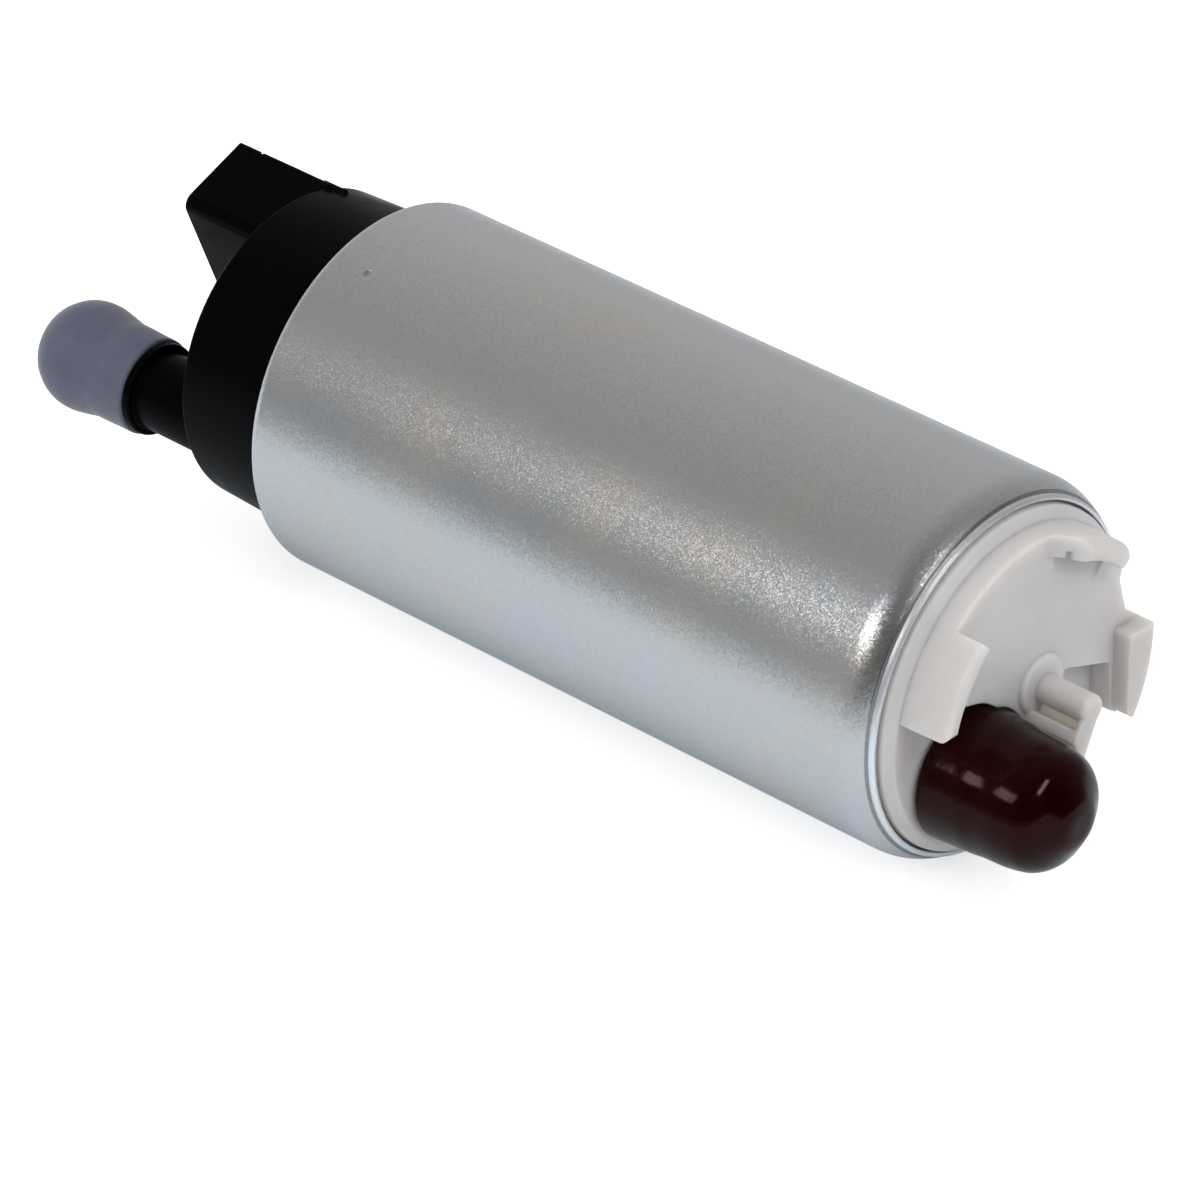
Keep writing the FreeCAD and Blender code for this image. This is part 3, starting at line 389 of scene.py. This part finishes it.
def maroon_vinyl():
    """Dip-moulded vinyl, almost black red-brown, with a wet gloss and faint runs."""
    t, place, feed = finish("maroon_vinyl", IOR=1.5, Specular_IOR_Level=0.17,
                            Specular_Tint=rgb(1.0, 0.56, 0.53))
    skin = skin_of(t, place, 1.2, 4.0)
    cloud = clouds(t, place, 3.0, 0.4, (0.0075, 0.0004, 0.0003), (0.011, 0.0008, 0.0006))
    feed("Base Color", cloud["Color"])
    feed("Roughness", spread(t, skin["Flow"], 0.3, 0.7, 0.08, 0.16))
    feed("Normal", bump(t, skin["Height"], 0.012))


def blue_grey_vinyl():
    """Soft grey-blue vinyl with a matt powdery skin."""
    t, place, feed = finish("blue_grey_vinyl", IOR=1.45, Subsurface_Weight=0.2,
                            Subsurface_Radius=(1.0, 0.8, 0.7), Subsurface_Scale=0.0012,
                            Sheen_Weight=0.35, Sheen_Roughness=0.4, Sheen_Tint=rgb(1.0, 0.93, 0.86))
    grain = use(t, "fine grain", {"Place": place, "Size": 0.18})["Height"]
    cloud = clouds(t, place, 2.5, 0.5, (0.086, 0.096, 0.148), (0.098, 0.106, 0.155))
    feed("Base Color", cloud["Color"])
    feed("Roughness", spread(t, grain, 0.3, 0.7, 0.5, 0.62))
    feed("Normal", bump(t, grain, 0.006))


# finishes inside: metals with tool marks, powders, plastics and rubber

def worked_metal(slot, color, other, rough, pitch, depth):
    """Bare metal with fine tool marks round the axis, a cloudy tone and brighter rubbed edges."""
    t, place, feed = finish(slot, metal=1.0)
    cloud = clouds(t, place, 4.0, 0.5, color, other)
    edge = edges_of(t, place, 0.00015)
    lines = use(t, "turning marks", {"Place": place, "Pitch": pitch})["Height"]
    light = rgb(*[min(1.0, c * 1.15) for c in color])
    feed("Base Color", blend(t, edge["Mask"], cloud["Color"], light))
    feed("Roughness", calc(t, "ADD", rough, calc(t, "MULTIPLY", cloud["Mask"], 0.1)))
    feed("Normal", bump(t, lines, depth, edge["Normal"]))


def pressed_powder(slot, color, other, metal, rough, size):
    """Sintered or pressed powder: open pores and a cloudy tone."""
    t, place, feed = finish(slot, metal=metal)
    cloud = clouds(t, place, 2.0, 0.5, color, other)
    grain = use(t, "fine grain", {"Place": place, "Size": size})["Height"]
    pores = spread(t, grain, 0.3, 0.42)
    dark = rgb(*[c * 0.45 for c in color])
    feed("Base Color", blend(t, pores, dark, cloud["Color"]))
    feed("Roughness", spread(t, grain, 0.3, 0.7, rough + 0.15, rough))
    feed("Normal", bump(t, pores, 0.02))


def moulded(slot, color, other, rough, peel):
    """Moulded plastic or rubber: orange peel, flow marks and softened edges."""
    t, place, feed = finish(slot)
    edge = edges_of(t, place, 0.0002)
    skin = skin_of(t, place, peel, 4.0)
    cloud = clouds(t, place, 3.0, 0.5, color, other)
    feed("Base Color", cloud["Color"])
    feed("Roughness", spread(t, skin["Flow"], 0.3, 0.7, rough - 0.06, rough + 0.08))
    feed("Normal", bump(t, skin["Height"], 0.006, edge["Normal"]))


def wound_wire():
    """Enamelled copper laid in turns: fine ridges along the armature, with varnish between them."""
    t, place, feed = finish("enamelled_wire", metal=0.75, Coat_Weight=0.4, Coat_Roughness=0.15)
    axes = put(t, "SeparateXYZ", {0: place}).outputs
    clock = calc(t, "ARCTAN2", axes[1], axes[2])
    turns = calc(t, "ABSOLUTE", calc(t, "SINE", calc(t, "MULTIPLY", clock, WIRE_RIDGES / 2)))
    cloud = clouds(t, place, 2.0, 0.5, (0.50, 0.20, 0.08), (0.40, 0.13, 0.045))
    feed("Base Color", blend(t, turns, rgb(0.14, 0.04, 0.015), cloud["Color"]))
    feed("Roughness", spread(t, turns, 0.0, 1.0, 0.5, 0.28))
    feed("Normal", bump(t, turns, 0.12))


def make_finishes():
    shell_steel()
    black_plastic()
    white_plastic()
    maroon_vinyl()
    blue_grey_vinyl()
    wound_wire()
    worked_metal("brass", (0.72, 0.52, 0.24), (0.66, 0.46, 0.2), 0.22, 0.12, 0.003)
    worked_metal("tin", (0.72, 0.72, 0.70), (0.66, 0.66, 0.65), 0.24, 0.3, 0.002)
    worked_metal("copper", (0.72, 0.36, 0.20), (0.6, 0.27, 0.14), 0.24, 0.1, 0.004)
    worked_metal("steel", (0.52, 0.52, 0.53), (0.46, 0.46, 0.47), 0.28, 0.15, 0.003)
    worked_metal("plate_aluminium", (0.66, 0.67, 0.69), (0.6, 0.61, 0.63), 0.3, 0.25, 0.004)
    pressed_powder("sintered_steel", (0.30, 0.30, 0.31), (0.25, 0.25, 0.26), 1.0, 0.35, 0.12)
    pressed_powder("bronze", (0.55, 0.36, 0.20), (0.47, 0.3, 0.17), 1.0, 0.38, 0.12)
    pressed_powder("carbon", (0.03, 0.03, 0.032), (0.042, 0.04, 0.04), 0.0, 0.5, 0.1)
    pressed_powder("ferrite", (0.07, 0.07, 0.075), (0.055, 0.055, 0.06), 0.0, 0.55, 0.15)
    moulded("brown_plastic", (0.16, 0.10, 0.06), (0.13, 0.08, 0.045), 0.42, 0.4)
    moulded("green_insulation", (0.10, 0.24, 0.16), (0.08, 0.2, 0.13), 0.45, 0.5)
    moulded("seal_rubber", (0.02, 0.02, 0.022), (0.027, 0.027, 0.028), 0.6, 0.2)
    moulded("lead_wire", (0.03, 0.03, 0.03), (0.02, 0.02, 0.02), 0.4, 0.3)
    for part in frame["record"]["subparts"]:
        for slot in frame["nodes"][part["node"]].material_slots:
            slot.material = FINISHES[part["material_slot"]]


# the two soft covers, worked out as surfaces of revolution

def round_line(corners, step=0.25):
    """Line through (x, radius, corner radius) points: straight runs cut into steps, and at each
    corner the arc that touches both runs. Its centre is corner + bisector * r / sin(half angle),
    and it is swept from one touch to the other."""
    p = np.array([c[:2] for c in corners], float)
    runs = [p[:1]]
    for k in range(1, len(p) - 1):
        r = corners[k][2]
        a, b = p[k - 1] - p[k], p[k + 1] - p[k]
        a, b = a / np.linalg.norm(a), b / np.linalg.norm(b)
        half = np.arccos(np.clip(a @ b, -1, 1)) / 2
        mid = (a + b) / np.linalg.norm(a + b)
        centre = p[k] + mid * r / np.sin(half)
        start, end = p[k] + a * r / np.tan(half), p[k] + b * r / np.tan(half)
        u, v = (start - centre) / r, (end - centre) / r
        angle = np.arccos(np.clip(u @ v, -1, 1))
        s = np.linspace(0, 1, max(4, int(angle * r / step) + 3))[:, None]
        sweep = np.sin((1 - s) * angle) * u + np.sin(s * angle) * v
        runs.append(centre + r * sweep / np.sin(angle))
    runs.append(p[-1:])
    line = [runs[0]]
    for first, second in zip(runs[:-1], runs[1:]):
        gap = np.linalg.norm(second[0] - first[-1])
        s = np.linspace(0, 1, int(gap / step) + 2)[1:-1, None]
        line += [first[-1] + s * (second[0] - first[-1]), second]
    line = np.concatenate(line)
    apart = np.linalg.norm(np.diff(line, axis=0), axis=1) > 1e-4
    return line[np.r_[True, apart]]


def turned_cover(name, line, centre, swell, sides=144):
    """Closed surface of revolution about the line through centre along X. Ring i, side j lies at
    (x_i, cy + r sin a_j, cz + r cos a_j) with r = r_i + swell(x_i, a_j, r_i). The first and last
    point of the line are on the axis and close the surface with fans."""
    a = np.arange(sides) * 2 * np.pi / sides
    x, r = line[1:-1, 0][:, None], line[1:-1, 1][:, None]
    reach = r + swell(x, a[None, :], r)
    grid = np.stack([x + 0 * a, centre[0] + reach * np.sin(a), centre[1] + reach * np.cos(a)], 2)
    poles = np.array([[line[0, 0], *centre], [line[-1, 0], *centre]])
    return closed_skin(name, grid, poles)


def closed_skin(name, grid, poles):
    """Mesh of rings of points (rings, sides, 3) in millimetres: quads between the rings, and a fan
    at each end to its pole. Its faces are turned outwards."""
    rings, sides = grid.shape[:2]
    points = np.concatenate([grid.reshape(-1, 3), poles]) * MM
    i, j = np.meshgrid(np.arange(rings - 1), np.arange(sides), indexing="ij")
    k = (j + 1) % sides
    near, far = i * sides, (i + 1) * sides
    quads = np.stack([near + j, near + k, far + k, far + j], 2).reshape(-1, 4)
    j = np.arange(sides)
    k = (j + 1) % sides
    start = np.stack([np.full(sides, rings * sides), k, j], 1)
    last = (rings - 1) * sides
    end = np.stack([np.full(sides, rings * sides + 1), last + j, last + k], 1)
    faces = quads.tolist() + start.tolist() + end.tolist()
    mesh = bpy.data.meshes.new(name)
    mesh.from_pydata(points.tolist(), [], faces)
    mesh.validate()
    mesh.update()
    if signed_volume(points, faces) < 0:
        mesh.flip_normals()
    mesh.shade_smooth()
    piece = bpy.data.objects.new(name, mesh)
    bpy.context.scene.collection.objects.link(piece)
    return piece


def signed_volume(points, faces):
    """Sum over fan triangles of a . (b x c) / 6; negative when the faces point inwards."""
    tri = [(f[0], f[k], f[k + 1]) for f in faces for k in range(1, len(f) - 1)]
    a, b, c = (points[list(col)] for col in zip(*tri))
    return float(np.einsum("ij,ij->", a, np.cross(b, c)) / 6)


def inlet_cover():
    """Glossy dipped cover on the inlet tube: faint swellings along it, a round dome and a thick
    soft mouth."""
    line = round_line([
        (54.93, 0), (54.93, 1.98, 3.5), (52.6, 5.87, 3.9), (49.8, 6.42, 14.0), (40.5, 7.02, 0.5),
        (40.5, 5.56, 0.3), (51.62, 5.56, 0.6), (51.62, 0)])

    def swell(x, a, r):
        # waves 4.6 long, fainter on the dome and gone at the mouth, and a body a little out of round
        outer = np.clip((r - 6.0) / 0.3, 0, 1)
        height = 0.036 * (1 - np.clip((x - 47.5) / 2.5, 0, 0.6)) * np.clip((x - 44.0) / 1.5, 0, 1)
        waves = height * np.sin((50.6 - x) * 2 * np.pi / 4.6)
        soft = 0.02 * np.cos(2 * a + 0.6) + 0.012 * np.cos(3 * a + x * 0.5)
        return outer * (waves + soft - 0.03)
    piece = turned_cover("inlet_cover", line, INLET_TUBE_YZ, swell)
    piece.data.materials.append(FINISHES["maroon_vinyl"])
    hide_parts("inlet_cap")
    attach(piece, "inlet_cap")


def outlet_cover():
    """Soft matt cover on the outlet pipe: a ball over the barb and a waist behind it."""
    line = round_line([
        (-76.34, 0), (-76.34, 5.85, 5.2), (-70.6, 5.85, 3.0), (-67.3, 5.26, 4.0), (-62.2, 5.17, 0.28),
        (-62.2, 4.42, 0.2), (-73.4, 4.42, 0.6), (-73.4, 0)])

    def swell(x, a, r):
        # a body a little out of round
        outer = np.clip((r - 4.6) / 0.3, 0, 1)
        soft = 0.02 * np.cos(2 * a + 1.0) + 0.02 * np.cos(3 * a + x * 0.3) + 0.01 * np.sin(x * 1.7)
        return outer * (soft - 0.03)
    piece = turned_cover("outlet_cover", line, OUTLET_PIPE_YZ, swell)
    piece.data.materials.append(FINISHES["blue_grey_vinyl"])
    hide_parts("outlet_cap")
    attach(piece, "outlet_cap")


# the four springs, each wound as a coil of round wire

def coil_spring(node, start, way, side, size, joint, travel, steps=40, sides=12):
    """Round wire wound about the line from start along way. With t from 0 to 1 and u = 2 pi turns t,
    its centre is start + way (wire + (length - 2 wire) t) + coil (side cos u + up sin u), where up
    is way x side. It has steps rings in each turn, and each ring has sides points."""
    length, coil, wire, turns = size
    way, side, start = np.array(way, float), np.array(side, float), np.array(start, float)
    up = np.cross(way, side)
    u = np.linspace(0, 2 * np.pi * turns, int(turns * steps) + 1)[:, None]
    rise = (length - 2 * wire) / (2 * np.pi * turns)
    out = side * np.cos(u) + up * np.sin(u)
    centre = start + way * (wire + rise * u) + coil * out
    ahead = way * rise + coil * (up * np.cos(u) - side * np.sin(u))
    across = np.cross(ahead / np.linalg.norm(ahead, axis=1)[:, None], out)
    v = (np.arange(sides) * 2 * np.pi / sides)[None, :, None]
    grid = centre[:, None] + wire * (np.cos(v) * out[:, None] + np.sin(v) * across[:, None])
    piece = closed_skin(node + "_coil", grid, centre[[0, -1]])
    slot = next(p["material_slot"] for p in frame["record"]["subparts"] if p["node"] == node)
    piece.data.materials.append(FINISHES[slot])
    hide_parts(node)
    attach(piece, "housing")
    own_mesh(piece)


# studio

def studio_floor():
    """Pale floor under the barrel. The camera sees it lifted to white outside the soft shadow.
    Mirror rays see a cool sheet that ends a hand's width in front of the barrel and behind it."""
    signs = ((-1, -1), (1, -1), (1, 1), (-1, 1))
    corners = [(a * FLOOR_HALF * MM, b * FLOOR_HALF * MM, FLOOR_Z * MM) for a, b in signs]
    mesh = bpy.data.meshes.new("floor")
    mesh.from_pydata(corners, [], [(0, 1, 2, 3)])
    floor = bpy.data.objects.new("floor", mesh)
    bpy.context.scene.collection.objects.link(floor)
    material = bpy.data.materials.new("floor_paper")
    material.use_nodes = True
    tree = material.node_tree
    shader = tree.nodes["Principled BSDF"]
    shader.inputs["Roughness"].default_value = 0.9
    shader.inputs["Specular IOR Level"].default_value = 0.0
    shader.inputs["Emission Color"].default_value = rgb(1.0, 1.0, 1.0)
    rays = put(tree, "LightPath").outputs
    spot = put(tree, "TexCoord").outputs["Object"]
    paper = blend(tree, noise(tree, spot, 400.0), rgb(0.84, 0.84, 0.84), rgb(0.86, 0.86, 0.86))
    away = calc(tree, "DIVIDE", put(tree, "SeparateXYZ", {0: spot}).outputs[1], MM)
    front = spread(tree, away, *SHEET_FRONT)
    mirrored = blend(tree, front, rgb(0.83, 0.90, 0.96), rgb(0.36, 0.37, 0.38))
    mirrored = blend(tree, spread(tree, away, *SHEET_BACK), mirrored, rgb(0.55, 0.55, 0.56))
    color = blend(tree, rays["Is Glossy Ray"], paper, mirrored)
    glow = calc(tree, "MULTIPLY", rays["Is Camera Ray"], 0.6)
    tree.links.new(color, shader.inputs["Base Color"])
    tree.links.new(glow, shader.inputs["Emission Strength"])
    mesh.materials.append(material)


def studio_room():
    """World: white to the camera, even light on the pieces, and for mirror rays a room that is
    lighter at the back and left and darker towards the camera and the right."""
    world = bpy.data.worlds.new("room")
    bpy.context.scene.world = world
    world.use_nodes = True
    tree = world.node_tree
    shader = tree.nodes["Background"]
    way = put(tree, "TexCoord").outputs["Generated"]
    rays = put(tree, "LightPath").outputs
    room = vector_calc(tree, "DOT_PRODUCT", way, MIRROR_SLOPE)
    room = calc(tree, "MAXIMUM", calc(tree, "ADD", room, MIRROR_LEVEL), MIRROR_DARKEST)
    even = vector_calc(tree, "DOT_PRODUCT", way, LIGHT_SLOPE)
    even = calc(tree, "ADD", even, LIGHT_LEVEL)
    mirror = calc(tree, "MAXIMUM", rays["Is Glossy Ray"], rays["Is Transmission Ray"])
    level = put(tree, "Mix", {0: mirror, 2: even, 3: room}, data_type="FLOAT").outputs[0]
    seen = {0: rays["Is Camera Ray"], 2: level, 3: 1.0}
    level = put(tree, "Mix", seen, data_type="FLOAT").outputs[0]
    shader.inputs["Color"].default_value = rgb(1.0, 1.0, 1.0)
    tree.links.new(level, shader.inputs["Strength"])


def soft_lamp(name, place, size, level, roll=0.0):
    """Area lamp at a place (mm), facing LAMP_AIM. Size is its width and height, level its brightness,
    where 1 is white, and roll its turn in degrees about the line to that point."""
    data = bpy.data.lights.new(name, "AREA")
    data.shape = "RECTANGLE"
    data.size, data.size_y = size[0] * MM, size[1] * MM
    data.energy = level * np.pi * data.size * data.size_y
    lamp = bpy.data.objects.new(name, data)
    bpy.context.scene.collection.objects.link(lamp)
    way = Vector(place) - Vector(LAMP_AIM)
    lamp.location = Vector(place) * MM
    turn = way.to_track_quat("Z", "Y") @ Quaternion((0.0, 0.0, 1.0), np.radians(roll))
    lamp.rotation_euler = turn.to_euler()
    lamp.visible_camera = False


place_camera()
make_effects()
make_finishes()
inlet_cover()
outlet_cover()
for spring_node, spring_values in SPRINGS.items():
    coil_spring(spring_node, *spring_values)
studio_floor()
studio_room()
soft_lamp("front_lamp", place=(-195.0, -730.0, 480.0), size=(230.0, 230.0), level=7.2)
soft_lamp("end_lamp", place=(440.0, -75.0, 470.0), size=(300.0, 90.0), level=13.0, roll=31.0)

bpy.context.scene.view_settings.view_transform = "Standard"
